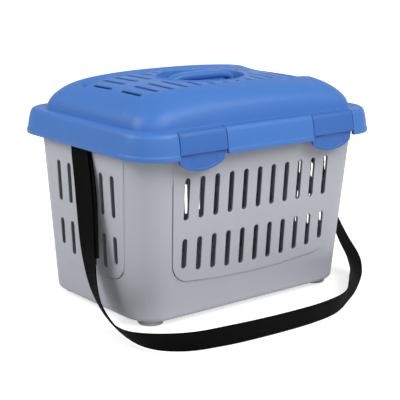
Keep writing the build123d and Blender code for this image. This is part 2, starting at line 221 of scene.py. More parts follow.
def rings(columns, half_x, half_y, radius, height):
    """Rows of rounded rectangles: anchor held inside the core, plus the radius along the direction."""
    anchor, facing = columns
    half_x, half_y, radius, height = (np.asarray(v, float) for v in np.broadcast_arrays(half_x, half_y,
        radius, height))
    core = np.stack([half_x - radius, half_y - radius], 1)[:, None]
    flat = np.clip(anchor, -core, core) + radius[:, None, None] * facing
    return np.concatenate([flat, np.broadcast_to(height[:, None, None], (*flat.shape[:2], 1))], 2)


def edge_roll(gap, radius):
    """How far a rolled edge has sunk at a distance gap from its outline: a quarter circle."""
    near = np.clip(radius - gap, 0, radius)
    return radius - np.sqrt(radius**2 - near**2)


def slot_gap(points, slots):
    """Distance to the nearest of several upright slots (middle, low end, high end, half width)."""
    middle, low, high, half = np.asarray(slots, float).T
    reach = np.clip(points[:, 1:], low + half, high - half)
    return (np.hypot(points[:, :1] - middle, points[:, 1:] - reach) - half).min(1)


def slot_loop(middle, low, high, half, grow=0.0, steps=8):
    """Outline of one upright slot with round ends, grown outwards by grow."""
    turn = np.linspace(0, math.pi, steps + 1)
    top = np.stack([np.cos(turn), np.sin(turn)], 1) * (half + grow) + [middle, high - half]
    low_end = np.stack([-np.cos(turn), -np.sin(turn)], 1) * (half + grow) + [middle, low + half]
    return np.concatenate([top, low_end])

# %% [markdown]
# ## Shared finishes
#
# All the plastic is injection moulded. Its skin has a very fine grain, the colour flows a little
# unevenly over a few centimetres, and handling has rubbed it smoother in patches. One node group
# works these three out from Object coordinates, and each plastic uses it with its own strengths.
# The webbing has a group of its own, which reads the band's UV map, where U runs across the band and
# V along it, both in metres. The narrow sides of the slots get hardly any light in the photograph, so
# the grey plastic is darkened there, found by place and by which way the face looks.
# The webbing's yarn is painted darker in the grooves between its ribs, as shade.

# %% Node helpers
def new_group(name, inputs, outputs):
    """An empty shader node group with named number sockets."""
    group = bpy.data.node_groups.new(name, "ShaderNodeTree")
    for label, value in inputs.items():
        group.interface.new_socket(name=label, in_out="INPUT",
            socket_type="NodeSocketFloat").default_value = value
    for label in outputs:
        group.interface.new_socket(name=label, in_out="OUTPUT", socket_type="NodeSocketFloat")
    return group, group.nodes.new("NodeGroupInput"), group.nodes.new("NodeGroupOutput")


def add_node(tree, kind, links=None, **values):
    """A node with its settings, and its inputs joined or set by name or number."""
    node = tree.nodes.new(kind)
    for key, value in values.items():
        setattr(node, key, value)
    for key, value in (links or {}).items():
        if isinstance(value, bpy.types.NodeSocket):
            tree.links.new(value, node.inputs[key])
        else:
            node.inputs[key].default_value = value
    return node


def math_node(tree, operation, a, b=0.0, clamp=False):
    """The result of one sum on two numbers or sockets."""
    return add_node(tree, "ShaderNodeMath", {0: a, 1: b}, operation=operation, use_clamp=clamp).outputs[0]


# %% Group: moulded skin
moulded_skin, skin_in, skin_out = new_group(
    "moulded skin", {"Grain size": 1500.0, "Flow size": 11.0}, ("Grain", "Flow", "Rubbed"))
where = add_node(moulded_skin, "ShaderNodeTexCoord").outputs["Object"]
grain = add_node(moulded_skin, "ShaderNodeTexNoise",
                 {"Vector": where, "Scale": skin_in.outputs["Grain size"], "Detail": 3.0, "Roughness": 0.6})
flow = add_node(moulded_skin, "ShaderNodeTexNoise",
                {"Vector": where, "Scale": skin_in.outputs["Flow size"], "Detail": 4.0, "Distortion": 0.6})
rub = add_node(moulded_skin, "ShaderNodeTexNoise", {"Vector": where, "Scale": 38.0, "Detail": 6.0,
    "Roughness": 0.7})
rubbed = add_node(moulded_skin, "ShaderNodeMapRange",
                  {"Value": rub.outputs["Fac"], "From Min": 0.42, "From Max": 0.68},
                      interpolation_type="SMOOTHSTEP")
moulded_skin.links.new(grain.outputs["Fac"], skin_out.inputs["Grain"])
moulded_skin.links.new(flow.outputs["Fac"], skin_out.inputs["Flow"])
moulded_skin.links.new(rubbed.outputs["Result"], skin_out.inputs["Rubbed"])

# %% Group: woven band
woven_band, _, weave_out = new_group("woven band", {}, ("Height", "Painted rib shade", "Lint"))
band_place = add_node(woven_band, "ShaderNodeUVMap", uv_map="band")
split = add_node(woven_band, "ShaderNodeSeparateXYZ", {0: band_place.outputs["UV"]})
across, along = split.outputs["X"], split.outputs["Y"]
warp = math_node(woven_band, "SINE", math_node(woven_band, "MULTIPLY", across, 2 * math.pi / 0.0016))
shift = math_node(woven_band, "MULTIPLY", math_node(woven_band, "SIGN", warp), 0.00055)
weft = math_node(woven_band, "SINE", math_node(
    woven_band, "MULTIPLY", math_node(woven_band, "ADD", along, shift), 2 * math.pi / 0.0022))
height = math_node(woven_band, "ADD", math_node(woven_band, "ABSOLUTE", warp),
                   math_node(woven_band, "MULTIPLY", weft, 0.6))
lint_spots = add_node(woven_band, "ShaderNodeTexNoise",
                      {"Vector": band_place.outputs["UV"], "Scale": 900.0, "Detail": 2.0})
lint = math_node(woven_band, "GREATER_THAN", lint_spots.outputs["Fac"], 0.66)
woven_band.links.new(height, weave_out.inputs["Height"])
# Painted shade: the weft's wave, which also raises the ribs, sets the yarn's colour, darker in the grooves
# and lighter on the ribs' tops.
woven_band.links.new(math_node(woven_band, "MULTIPLY_ADD", weft, 0.5), weave_out.inputs["Painted rib shade"])
woven_band.links.new(lint, weave_out.inputs["Lint"])


# %% Plastics and webbing
def moulded_plastic(name, colour, deep, roughness, grain_depth):
    """Moulded plastic: colour flows between two close tones, rubbed patches are smoother."""
    material = bpy.data.materials.new(name)
    material.use_nodes = True
    tree = material.node_tree
    shader = tree.nodes["Principled BSDF"]
    skin = add_node(tree, "ShaderNodeGroup", node_tree=moulded_skin)
    tone = add_node(tree, "ShaderNodeMix", {"Factor": skin.outputs["Flow"], 6: (*colour, 1), 7: (*deep, 1)},
                    data_type="RGBA")
    matt = add_node(tree, "ShaderNodeMapRange",
                    {"Value": skin.outputs["Rubbed"], "To Min": roughness, "To Max": roughness - 0.09})
    bump = add_node(tree, "ShaderNodeBump", {"Height": skin.outputs["Grain"], "Strength": 0.35,
        "Distance": grain_depth})
    tree.links.new(tone.outputs[2], shader.inputs["Base Color"])
    tree.links.new(matt.outputs["Result"], shader.inputs["Roughness"])
    tree.links.new(bump.outputs["Normal"], shader.inputs["Normal"])
    shader.inputs["IOR"].default_value = 1.49
    shader.inputs["Specular IOR Level"].default_value = 0.45
    return material


grey_plastic = moulded_plastic("grey moulded plastic", (0.434, 0.444, 0.488), (0.403, 0.413, 0.459), 0.5,
    0.00012)
blue_plastic = moulded_plastic("blue moulded plastic", (0.045, 0.163, 0.485), (0.039, 0.149, 0.455), 0.50,
    0.00010)
# The clips are the lid's own blue plastic; this deeper blue is painted shade, for tongues that face down
# under the band's overhang.
blue_plastic_painted_shade = moulded_plastic("blue plastic with painted shade", (0.030, 0.128, 0.42), (0.026, 0.116, 0.395),
    0.50, 0.00010)

# %% Shade in the tub's slots
grey_tree = grey_plastic.node_tree
grey_shader = grey_tree.nodes["Principled BSDF"]
grey_place = add_node(grey_tree, "ShaderNodeTexCoord")
spot, facing = (
    add_node(grey_tree, "ShaderNodeSeparateXYZ", {0: add_node(
        grey_tree, "ShaderNodeVectorMath", {0: grey_place.outputs[kind]}, operation="ABSOLUTE").outputs[0]})
    for kind in ("Object", "Normal"))


def slot_side(out, along, reach, wide):
    """1 where a face near the wall, at a distance out and within the slots' width, isn't turned outwards."""
    turned_away = math_node(grey_tree, "LESS_THAN", facing.outputs[out], 0.7)
    at_wall = math_node(grey_tree, "GREATER_THAN", spot.outputs[out], reach)
    in_width = math_node(grey_tree, "LESS_THAN", spot.outputs[along], wide)
    return math_node(grey_tree, "MULTIPLY", turned_away, math_node(grey_tree, "MULTIPLY", at_wall, in_width))


off_middle = math_node(grey_tree, "ABSOLUTE", math_node(grey_tree, "SUBTRACT", spot.outputs["Z"], 0.137))
in_height = math_node(grey_tree, "LESS_THAN", off_middle, 0.078)
slot_shade = math_node(grey_tree, "MULTIPLY", in_height, math_node(
    grey_tree, "MAXIMUM", slot_side("X", "Y", 0.185, 0.08), slot_side("Y", "X", 0.115, 0.155)))
plain_grey = grey_shader.inputs["Base Color"].links[0].from_socket
shaded_grey = add_node(grey_tree, "ShaderNodeMix", {
    "Factor": math_node(grey_tree, "MULTIPLY", slot_shade, 0.8), 6: plain_grey, 7: (0.07, 0.068, 0.08, 1)},
        data_type="RGBA")
grey_tree.links.new(shaded_grey.outputs[2], grey_shader.inputs["Base Color"])

# %% Webbing
webbing = bpy.data.materials.new("black ribbed webbing")
webbing.use_nodes = True
web_tree = webbing.node_tree
web_shader = web_tree.nodes["Principled BSDF"]
weave = add_node(web_tree, "ShaderNodeGroup", node_tree=woven_band)
# The yarn is darker in the weave's grooves and lighter on the ribs: painted shade that follows the ribs'
# height.
yarn_painted_shade = add_node(web_tree, "ShaderNodeMix",
                {"Factor": weave.outputs["Painted rib shade"], 6: (0.0010, 0.0010, 0.0011, 1),
                    7: (0.0034, 0.0033, 0.0035, 1)}, data_type="RGBA")
linted = add_node(web_tree, "ShaderNodeMix",
                  {"Factor": math_node(web_tree, "MULTIPLY", weave.outputs["Lint"], 0.25),
                   6: yarn_painted_shade.outputs[2], 7: (0.02, 0.02, 0.021, 1)}, data_type="RGBA")
weave_bump = add_node(web_tree, "ShaderNodeBump", {"Height": weave.outputs["Height"], "Strength": 0.6,
    "Distance": 0.00035})
web_tree.links.new(linted.outputs[2], web_shader.inputs["Base Color"])
web_tree.links.new(weave_bump.outputs["Normal"], web_shader.inputs["Normal"])
web_shader.inputs["Roughness"].default_value = 0.75
web_shader.inputs["Specular IOR Level"].default_value = 0.03
web_shader.inputs["Sheen Weight"].default_value = 0.008
web_shader.inputs["Sheen Roughness"].default_value = 0.4
print("finishes:", [m.name for m in bpy.data.materials])

# %% [markdown]
# ## The shoulder strap
#
# Forty millimetre webbing comes out from under the lid's skirt on the left, hangs down, turns over on
# the floor and lies on its edge in front of the tub, leaning outwards, until it climbs to the right
# end. A limp band like this is a ruled surface: its two edges are smooth lines, and straight threads
# run from one to the other. So both edges are made as NURBS splines over the route's points, and the
# band's surface, with its small thickness, is carried between them.

# %% The strap's route
STRAP_W, STRAP_T = 40.0, 1.6
# Middle of the band, and the direction across it, from the left end to the right
STRAP_ROUTE = np.array([
    (-212.4, 0, 240, 0, -1, 0), (-212.4, 0, 232, 0, -1, 0), (-211.8, -6, 195, 0.02, -0.99, 0.1),
    (-212.5, -12, 158, 0.02, -0.98, 0.15), (-215, -21.6, 100.7, -0.06, -0.97, 0.24),
    (-217.6, -36.3, 56.4, -0.25, -0.85, 0.46), (-219.8, -57, 31.9, -0.43, -0.52, 0.74),
    (-224.3, -81.2, 21.2, -0.53, -0.12, 0.84), (-231.5, -107.9, 17.4, -0.61, 0.08, 0.79),
    (-238.3, -135.6, 15.9, -0.7, 0.08, 0.71), (-239.4, -162.9, 15.9, -0.71, -0.08, 0.7),
    (-230.7, -188.5, 17.5, -0.57, -0.28, 0.77), (-212, -209.7, 18.5, -0.36, -0.44, 0.82),
    (-185, -224, 18.5, -0.15, -0.5, 0.85), (-153, -231, 19, -0.08, -0.48, 0.88),
    (-121, -236, 19, -0.05, -0.46, 0.88), (-89, -239, 19, -0.03, -0.47, 0.88),
        (-58, -241, 19, -0.02, -0.47, 0.88),
    (-26, -242, 19, 0, -0.47, 0.88), (6, -242, 19, 0.03, -0.47, 0.88), (38, -239, 19, 0.06, -0.45, 0.89),
    (69, -233, 19, 0.07, -0.42, 0.9), (98, -218, 20, 0.02, -0.3, 0.95), (124, -198, 21, -0.08, -0.1, 0.99),
(148, -181.9, 21.1, -0.06, 0.09, 0.99), (168, -165.9, 20.9, -0.15, 0.22, 0.96),
    (186, -150, 20, -0.23, 0.32, 0.92), (203.7, -134.9, 19.2, -0.37, 0.35, 0.86),
        (220.3, -120.6, 22.3, -0.64, 0.28, 0.71),
    (232.2, -105.1, 32.6, -0.94, -0.02, 0.34), (231.4, -82, 55.7, -0.92, -0.36, 0.15),
    (225.5, -55, 104.5, -0.84, -0.46, 0.3), (223.5, -33, 164, -0.4, -0.83, 0.38),
    (221, -18, 192, -0.03, -0.93, 0.37), (216, -6, 219, 0, -0.98, 0.18), (212.4, 0, 232, 0, -1, 0),
    (212.4, 0, 240, 0, -1, 0),
])


def spline_points(controls, name):
    """Points along a NURBS spline over the controls, as Blender itself reads the curve."""
    curve = bpy.data.curves.new(name, "CURVE")
    curve.dimensions = "3D"
    curve.resolution_u = 10
    line = curve.splines.new("NURBS")
    line.points.add(len(controls) - 1)
    line.points.foreach_set("co", np.concatenate([controls, np.ones((len(controls), 1))], 1).ravel())
    line.order_u = 3
    line.use_endpoint_u = True
    holder = bpy.data.objects.new(name, curve)
    made = bpy.data.meshes.new_from_object(holder)
    points = np.empty(len(made.vertices) * 3)
    made.vertices.foreach_get("co", points)
    bpy.data.meshes.remove(made)
    bpy.data.objects.remove(holder)
    bpy.data.curves.remove(curve)
    return points.reshape(-1, 3)


def band_edges(middles, across, width):
    """The two edges of a band: middle plus and minus half the width along the direction across."""
    along = np.gradient(middles, axis=0)
    along /= np.linalg.norm(along, axis=1, keepdims=True)
    across = across - (across * along).sum(1, keepdims=True) * along
    across = across / np.linalg.norm(across, axis=1, keepdims=True)
    return [spline_points(middles + side * width / 2 * across, "band edge") for side in (-1, 1)]


def band_skin(left, right, thickness, lift=0.0):
    """A closed flat tube between two edge lines: its section is a flat oval, a little thicker at the
    two woven edges, and its ends are closed. Also returned: UV across and along, in metres."""
    middle, across = (left + right) / 2, right - left
    width = np.linalg.norm(across, axis=1, keepdims=True)
    across = across / width
    along = np.gradient(middle, axis=0)
    up = np.cross(across, along)
    up /= np.linalg.norm(up, axis=1, keepdims=True)
    side = np.array([-0.5, -0.496, -0.47, -0.44, -0.15, 0.15, 0.44, 0.47, 0.496, 0.5])
    thick = np.array([0.16, 0.4, 0.5, 0.42, 0.42, 0.42, 0.42, 0.5, 0.4, 0.16])
    s = np.concatenate([side, side[::-1]])
    t = np.concatenate([thick, -thick[::-1]]) * thickness
    rows = (middle[:, None] + s[:, None] * width[:, None] * across[:, None] + (t[:, None] + lift) * up[:,
        None])
    count = len(s)
    cells = grid_cells(len(middle), count).reshape(-1, 3)
    fan = np.arange(1, count - 1)
    cap = np.stack([np.zeros_like(fan), fan, fan + 1], 1)
    last = (len(middle) - 1) * count
    way = np.concatenate([[0], np.cumsum(np.linalg.norm(np.diff(middle, axis=0), axis=1))])
    uv = np.stack(np.broadcast_arrays((s + 0.5)[None] * STRAP_W * MM, way[:, None] * MM), -1).reshape(-1, 2)
    return rows.reshape(-1, 3), np.concatenate([cells, cap[:, ::-1], cap + last]), uv


def band_piece(name, skin, uv, node, smooth_angle=50):
    """A webbing object with its UV map, riding on the tub."""
    piece = mesh_piece(name, skin, "tub_body", webbing, (node,), sharp=smooth_angle, even=False)
    layer = piece.data.uv_layers.new(name="band")
    corners = np.empty(len(piece.data.loops), int)
    piece.data.loops.foreach_get("vertex_index", corners)
    layer.data.foreach_set("uv", uv[corners].ravel())
    return piece


def outward(skin):
    """The same skin with its triangles turned over if it encloses less than nothing."""
    points, faces = skin
    a, b, c = (points[faces[:, k]] for k in range(3))
    return skin if (a * np.cross(b, c)).sum() > 0 else (points, faces[:, ::-1])


# %% The free run of the strap
strap_left, strap_right = band_edges(STRAP_ROUTE[:, :3], STRAP_ROUTE[:, 3:], STRAP_W)
points, faces, uv = band_skin(strap_left, strap_right, STRAP_T)
strap = band_piece("shoulder_strap_band", outward((points, faces)), uv, "shoulder_strap")

# %% [markdown]
# ## The tub's wall
#
# Each side of the tub is a sheet with two coordinates: the distance along the wall, which runs
# straight and then round half of each corner, and the height. The wall leans outwards as it rises.
# The panel with the slots stands 0.9 mm proud, with a soft step round it, and the slots' edges are
# rolled over as a mould leaves them, so each catches a thin line of light. Long and short side are
# made once each and turned round for the opposite side.

# %% Tub sizes
TUB_TOP, WALL = 268.0, 2.4
FOOT_H, FLOOR_CURVE, SHEET_LOW = 8.0, 7.0, 15.0
FLARE = 0.0603
SLOT_HALF, SLOT_PITCH = 4.0, 26.0
UPPER_LOW, UPPER_HIGH, LOWER_HIGH = 150.2, 208.7, 123.2
FRONT_SHARES = np.array([0.71, 0.82, 0.85, 0.89, 0.90, 0.90, 0.90, 0.89, 0.85, 0.82, 0.71])
SIDE_SHARES = np.array([0.66, 0.84, 0.90, 0.90, 0.84, 0.66])


def tub_sizes(z):
    """Half length, half width and corner radius of the tub's outside at height z."""
    grow = FLARE * (z - FOOT_H)
    return 191.6 + grow, 122.1 + grow, 45.5 - 0.005 * (z - FOOT_H)


def wall_point(along, z, out, long_side):
    """A point of the wall: straight out to the corner, then round it, and out from the surface."""
    half_x, half_y, radius = tub_sizes(z)
    if not long_side:
        half_x, half_y = half_y, half_x
    core = half_x - radius
    turn = np.clip((np.abs(along) - core) / radius, 0, None)
    x = np.sign(along) * (np.minimum(np.abs(along), core) + (radius + out) * np.sin(turn))
    y = -(half_y - radius) - (radius + out) * np.cos(turn)
    return np.stack([x, y, z + 0 * x], -1) if long_side else np.stack([-y, x, z + 0 * x], -1)


def wall_slots(shares):
    """Two rows of slots: (middle, low end, high end, half width)."""
    middle = (np.arange(len(shares)) - (len(shares) - 1) / 2) * SLOT_PITCH
    whole = UPPER_HIGH - UPPER_LOW
    upper = np.stack([middle, np.full(len(middle), UPPER_LOW), np.full(len(middle), UPPER_HIGH)], 1)
    lower = np.stack([middle, LOWER_HIGH - whole * shares, np.full(len(middle), LOWER_HIGH)], 1)
    both = np.concatenate([upper, lower])
    return np.concatenate([both, np.full((len(both), 1), SLOT_HALF)], 1)


def panel_outline(top_half, low_half, shoulder, middle_low, grow):
    """The raised panel: slanting sides, corners of 30 mm, and a foot that bows down in the middle."""
    turn = np.radians(np.linspace(-3, -83, 11))
    corner = np.stack([low_half - 30 + (30 + grow) * np.cos(turn), 91.6 + (30 + grow) * np.sin(turn)], 1)
    across = np.linspace(low_half - 28, 0, 9)[1:-1]
    foot = np.stack([across, middle_low + (shoulder - middle_low) * (across / (low_half - 26)) ** 2 - grow],
        1)
    right = np.concatenate([[[top_half + grow, 244 + grow]], corner, foot])
    return np.concatenate([right, [[0, middle_low - grow]], (right * [-1, 1])[::-1]])


# %% One side of the tub
def tub_sheet(long_side, shares, panel):
    """Outer and inner skin of one side, with its slots cut out, and the net's triangles."""
    slots = wall_slots(shares)
    low, high = SHEET_LOW, TUB_TOP
    half, radius = tub_sizes(low)[0 if long_side else 1], tub_sizes(low)[2]
    half_high, radius_high = tub_sizes(high)[0 if long_side else 1], tub_sizes(high)[2]
    straight = (np.arange(len(shares) + 1) - len(shares) / 2) * SLOT_PITCH
    turns = np.radians(np.arange(0, 46, 7.5))
    low_right, high_right = half - radius + radius * turns, half_high - radius_high + radius_high * turns
    low_line = np.concatenate([-low_right[::-1], straight, low_right])
    high_line = np.concatenate([-high_right[::-1], straight, high_right])
    levels = np.linspace(low, high, 12)[1:-1]
    seam = low_right[-1] + (high_right[-1] - low_right[-1]) * (levels - low) / (high - low)
    outline = np.concatenate([
        np.stack([low_line, np.full(len(low_line), low)], 1), np.stack([seam, levels], 1),
        np.stack([high_line[::-1], np.full(len(high_line), high)], 1),
            np.stack([-seam[::-1], levels[::-1]], 1)])
    uprights = [np.array([[s * a, low], [s * b, high]]) for a,
        b in zip(low_right[:-1], high_right[:-1]) for s in (-1, 1)]
    loops = [slot_loop(*slot, grow=g) for slot in slots for g in (0, 0.22, 0.62, 1.2)]
    steps = [panel_outline(*panel, grow=g) for g in (-0.5, -0.2, 0.2, 0.5)]
    flat, faces, _ = flat_net(outline, loops + steps, uprights, drop=lambda c: slot_gap(c, slots) < 0)
    inside = -outline_gap(flat, panel_outline(*panel, grow=0))
    share = np.clip(inside / 1.0 + 0.5, 0, 1)
    out = 1.5 * share**2 * (3 - 2 * share) - edge_roll(slot_gap(flat, slots), 1.2)
    return wall_point(flat[:, 0], flat[:, 1], out, long_side), wall_point(flat[:, 0], flat[:, 1], -WALL,
        long_side), faces


def half_turn(points):
    """Turned by half a turn about the upright axis."""
    return points * [-1, -1, 1]


front_sheet = tub_sheet(True, FRONT_SHARES, (157, 149.5, 62, 55))
side_sheet = tub_sheet(False, SIDE_SHARES, (94, 84, 62, 57.5))

# %% [markdown]
# ## Floor, rim and feet
#
# The wall rolls under into a flat floor on four round feet. At the top a flange turns out and down
# into a lip, which the clips hook under. The lip has a window at each end, and the strap's webbing
# goes through it. Under a lid this can't be seen, but the lid opens.

# %% Floor
TUB_COLUMNS = round_columns((np.arange(12) - 5.5) * SLOT_PITCH, (np.arange(7) - 3) * SLOT_PITCH, 12)
bend = np.linspace(0, math.pi / 2, 7)


def floor_rows(curve, base, inset):
    """Rows from the wall round the bottom edge to the flat floor."""
    z = np.concatenate([[SHEET_LOW], base + curve * (1 - np.sin(bend))])
    half_x, half_y, radius = tub_sizes(z)
    pull = inset + np.concatenate([[0], curve * (1 - np.cos(bend))])
    return rings(TUB_COLUMNS, half_x - pull, half_y - pull, radius - pull, z)


floor_outer, floor_inner = floor_rows(FLOOR_CURVE, FOOT_H, 0), floor_rows(FLOOR_CURVE - WALL, FOOT_H + 2.6,
    WALL)
count = floor_outer.shape[1]
floor_cells = grid_cells(len(floor_outer), count)[..., ::-1].reshape(-1, 3)
plate_flat, plate_faces, plate_from = flat_net(floor_outer[-1, :, :2])
plate = np.concatenate([plate_flat, np.full((len(plate_flat), 1), FOOT_H)], 1)
plate_in = plate * [0.98, 0.975, 1] + [0, 0, 2.6]
plate_in[plate_from >= 0] = floor_inner[-1][plate_from[plate_from >= 0]]

tub_outer, tub_faces = joined(
    (front_sheet[0], front_sheet[2]), (half_turn(front_sheet[0]), front_sheet[2]),
    (side_sheet[0], side_sheet[2]), (half_turn(side_sheet[0]), side_sheet[2]),
    (floor_outer.reshape(-1, 3), floor_cells), (plate, plate_faces[:, ::-1]))
tub_inner = np.concatenate([front_sheet[1], half_turn(front_sheet[1]), side_sheet[1],
    half_turn(side_sheet[1]),
                            floor_inner.reshape(-1, 3), plate_in])
tub_skin = shell(*welded(tub_outer, tub_inner, tub_faces))

# %% Rim and feet
RIM_X, RIM_Y, RIM_R = 211.5, 147.5, 47.0


def rim_rows(pull, z):
    """Rounded rectangles pulled in from the lip's outside."""
    pull = np.asarray(pull, float)
    return rings(RIM_COLUMNS, RIM_X - pull, RIM_Y - pull, RIM_R - pull, np.asarray(z, float))


RIM_COLUMNS = round_columns(np.linspace(-150, 150, 13), [-66, -44, -23, -22, 0, 22, 23, 44, 66], 12)
rim_outer = rim_rows([1.1, 0.3, 0, 0, 0, 0, 0.35, 1.2, 3, 6.4],
    [248, 248.3, 249.1, 257.5, 265.5, 268.8, 269.65, 270, 270, 270])
rim_inner = rim_rows([1.1, 1.9, 2.2, 2.2, 2.2, 2.2, 2.3, 2.6, 3.6, 6.4],
    [248, 248.3, 249.1, 257.5, 265.5, 267.0, 267.5, 267.8, 267.8, 267.8])
cells = grid_cells(len(rim_outer), rim_outer.shape[1])
held = rim_outer[3, :, 1]
in_window = (np.abs(held) <= 22.01) & (np.abs(np.roll(held, -1)) <= 22.01) & (np.abs(rim_outer[3, :,
    0]) > 180)
cells = cells[~(np.isin(np.arange(len(cells)), 3)[:, None] & in_window[None])].reshape(-1, 3)
rim_skin = shell(*welded(rim_outer.reshape(-1, 3), rim_inner.reshape(-1, 3), cells))


def turned(profile, at, steps=40):
    """A closed round body: the profile (radius, height) carried round an upright axis."""
    turn = np.linspace(0, 2 * math.pi, steps, endpoint=False)
    profile = np.asarray(profile, float)
    rows = np.stack([profile[:, :1] * np.cos(turn), profile[:, :1] * np.sin(turn),
        profile[:, 1:] + 0 * turn], -1)
    points, _, faces = welded(rows.reshape(-1, 3), rows.reshape(-1, 3),
        grid_cells(len(profile), steps).reshape(-1, 3))
    return points + np.asarray(at, float), faces


foot_profile = [(0, 0.6), (9, 0.6), (10, 0), (16.4, 0), (17.4, 0.35), (18, 1.4), (18.2, 6), (18.4, 9), (0, 9)]
feet = [turned(foot_profile, (x, y, 0)) for x in (-158, 158) for y in (-91, 91)]
tub_shell = mesh_piece("tub_shell", joined(tub_skin, rim_skin, *feet), "tub_body",
    grey_plastic, ("tub",))

# %% [markdown]
# ## The lid's shape
#
# Going in from its lower edge, the lid has a small bead, a nearly upright band, a rounded top edge, a
# narrow flat ledge and then the dome. The dome is given as one formula. Its height depends on how far
# a point lies inside the dome's foot, through a rounded shoulder, plus a gentle crown along and
# across. The skirt's rows follow a profile of pairs (distance in, height) instead. The grille's floor
# is sunk 6 mm, inside an outline whose front and back edges are bowed, and a very soft fold runs down
# each end of the dome.

# %% Lid formulas
DOME_X, DOME_Y, DOME_R = 197.0, 135.0, 37.0
NOTCH_IN, NOTCH_OUT, NOTCH_BACK = 80.2, 161.8, 146.0
RECESS, RECESS_X, RECESS_Y, RECESS_BOW = 6.0, 166.0, 89.0, 6.5
ISLAND_X, ISLAND_Y = 73.0, 63.0
GRILLE_HALF, GRILLE_PITCH = 3.6, 23.4


def dome_reach(x, y):
    """Distance in from the dome's foot, whose corners get 0.54 mm tighter for each millimetre in."""
    dx, dy = DOME_X - np.abs(x), DOME_Y - np.abs(y)
    reach = np.minimum(dx, dy)
    for _ in range(6):
        radius = np.maximum(DOME_R - 0.54 * np.maximum(reach, 0), 1.0)
        corner = (dx + dy - 2 * radius + np.sqrt(np.maximum(2 * radius**2 - (dx - dy) ** 2, 0))) / 2
        reach = np.where(np.abs(dx - dy) < radius, corner, np.minimum(dx, dy))
    return reach


def dome_height(x, y, reach):
    """Rounded shoulder over the first 71 mm, plus a crown of 14 mm along and 4 mm across."""
    shoulder = (1 - (1 - np.clip(reach / 71, 0, 1)) ** 1.97) ** (1 / 1.97)
    crown = 14.1 * (1 - np.abs(x / DOME_X) ** 2.46) + 3.7 * (1 - (y / DOME_Y) ** 2)
    return 272.5 + 38.2 * shoulder + (1 - (1 - np.clip(reach / 8, 0, 1)) ** 3) * crown


def box_gap(points, half_x, half_y, radius):
    """Distance to a rounded rectangle, below zero inside it."""
    over = np.abs(points) - (np.array([half_x, half_y]) - radius)
    return np.linalg.norm(np.maximum(over, 0), axis=1) + np.minimum(over.max(1), 0) - radius


def oval_gap(points, half_x, half_y):
    """Distance to an ellipse, near enough close to it, below zero inside."""
    size = np.linalg.norm(points / [half_x, half_y], axis=1)
    slope = np.linalg.norm(points / [half_x**2, half_y**2], axis=1) / np.maximum(size, 1e-9)
    return (size - 1) / np.maximum(slope, 1e-9)


def soft_step(gap, reach):
    """1 well inside an outline, 0 well outside, with a smooth step of the given reach between."""
    t = np.clip(0.5 - gap / (2 * reach), 0, 1)
    return t * t * (3 - 2 * t)


def oval(half_x, half_y, steps=96):
    """Points round an ellipse."""
    turn = np.linspace(0, 2 * math.pi, steps, endpoint=False)
    return np.stack([half_x * np.cos(turn), half_y * np.sin(turn)], 1)


def pulled(outline, pull):
    """A counter-clockwise outline pulled inwards."""
    way = np.roll(outline, -1, axis=0) - np.roll(outline, 1, axis=0)
    return outline - pull * np.stack([way[:, 1], -way[:, 0]], 1) / np.linalg.norm(way, axis=1, keepdims=True)


# %% Skirt, ledge and the dome's side
notch_front = [13, 26, 39, 52, 65, 74, 79.0, 79.8, NOTCH_IN, 94, 107.5, 121, 134.5, 148, NOTCH_OUT, 162.2,
    163.0]
notch_front = np.array([-v for v in notch_front[::-1]] + [0] + notch_front)
fold_side = np.array([52, 60, 64, 66.4, 68.2, 70, 71.8, 73.6, 76, 82, 93, 104.0])
LID_COLUMNS = round_columns(notch_front, np.concatenate([-fold_side[::-1], np.arange(-39, 40, 13),
    fold_side]), 18)
SKIRT_OUT = np.array([
    (0.9, 240.0), (0.25, 240.3), (0, 240.9), (0, 244.8), (0.15, 245.8), (0.5, 246.7), (0.9, 247.5),
        (1.15, 248.4),
    (1.6, 253), (2.4, 259.5), (3.5, 265), (4.3, 269.3), (5.2, 272.2), (6.6, 274.4), (8.4, 275.7),
        (10.5, 276.2),
    (12.88, 276.2), (13.5, 276.15), (16.4, 276.0), (18.6, 275.8), (21.6, 275.4), (22.5, 275.7)])
SKIRT_IN = np.array([
    (2.2, 240.0), (2.5, 240.3), (2.6, 240.9), (2.7, 244.8), (2.8, 245.8), (3.1, 246.7), (3.4, 247.5),
        (3.6, 248.4),
    (4.0, 253), (4.8, 259.3), (5.9, 264.4), (6.6, 268.4), (7.5, 270.9), (8.5, 272.5), (9.6, 273.4),
        (11.0, 273.8),
    (12.88, 273.8), (13.5, 273.75), (16.4, 273.6), (18.6, 273.4), (22.6, 273.1), (24.3, 273.8)])
NOTCH_ROW = 16


def skirt_rows(profile):
    """Rounded rectangles along a profile of (distance in, height)."""
    q, z = profile.T
    return rings(LID_COLUMNS, 221.2 - 1.055 * q, 160 - 1.087 * q, 51 - 0.61 * q, z)


reaches = np.array([0.3, 1, 2.2, 4, 6.5, 10, 14, 19, 23, 27.0])
dome_rows = rings(LID_COLUMNS, DOME_X - reaches, DOME_Y - reaches, DOME_R - 0.54 * reaches, 0 * reaches)
dome_rows[..., 2] = dome_height(dome_rows[..., 0], dome_rows[..., 1], reaches[:, None])
lid_grid = np.concatenate([skirt_rows(SKIRT_OUT), dome_rows])
lid_cells = grid_cells(len(lid_grid), lid_grid.shape[1])
middle = (lid_grid[:-1] + np.roll(lid_grid[:-1], -1, axis=1)) / 2
in_notch = (np.abs(middle[..., 0]) > NOTCH_IN) & (np.abs(middle[..., 0]) < NOTCH_OUT) & (np.abs(middle[...,
    1]) > 120)
lid_cells = lid_cells[~(in_notch & (np.arange(len(middle)) < NOTCH_ROW)[:, None])].reshape(-1, 3)

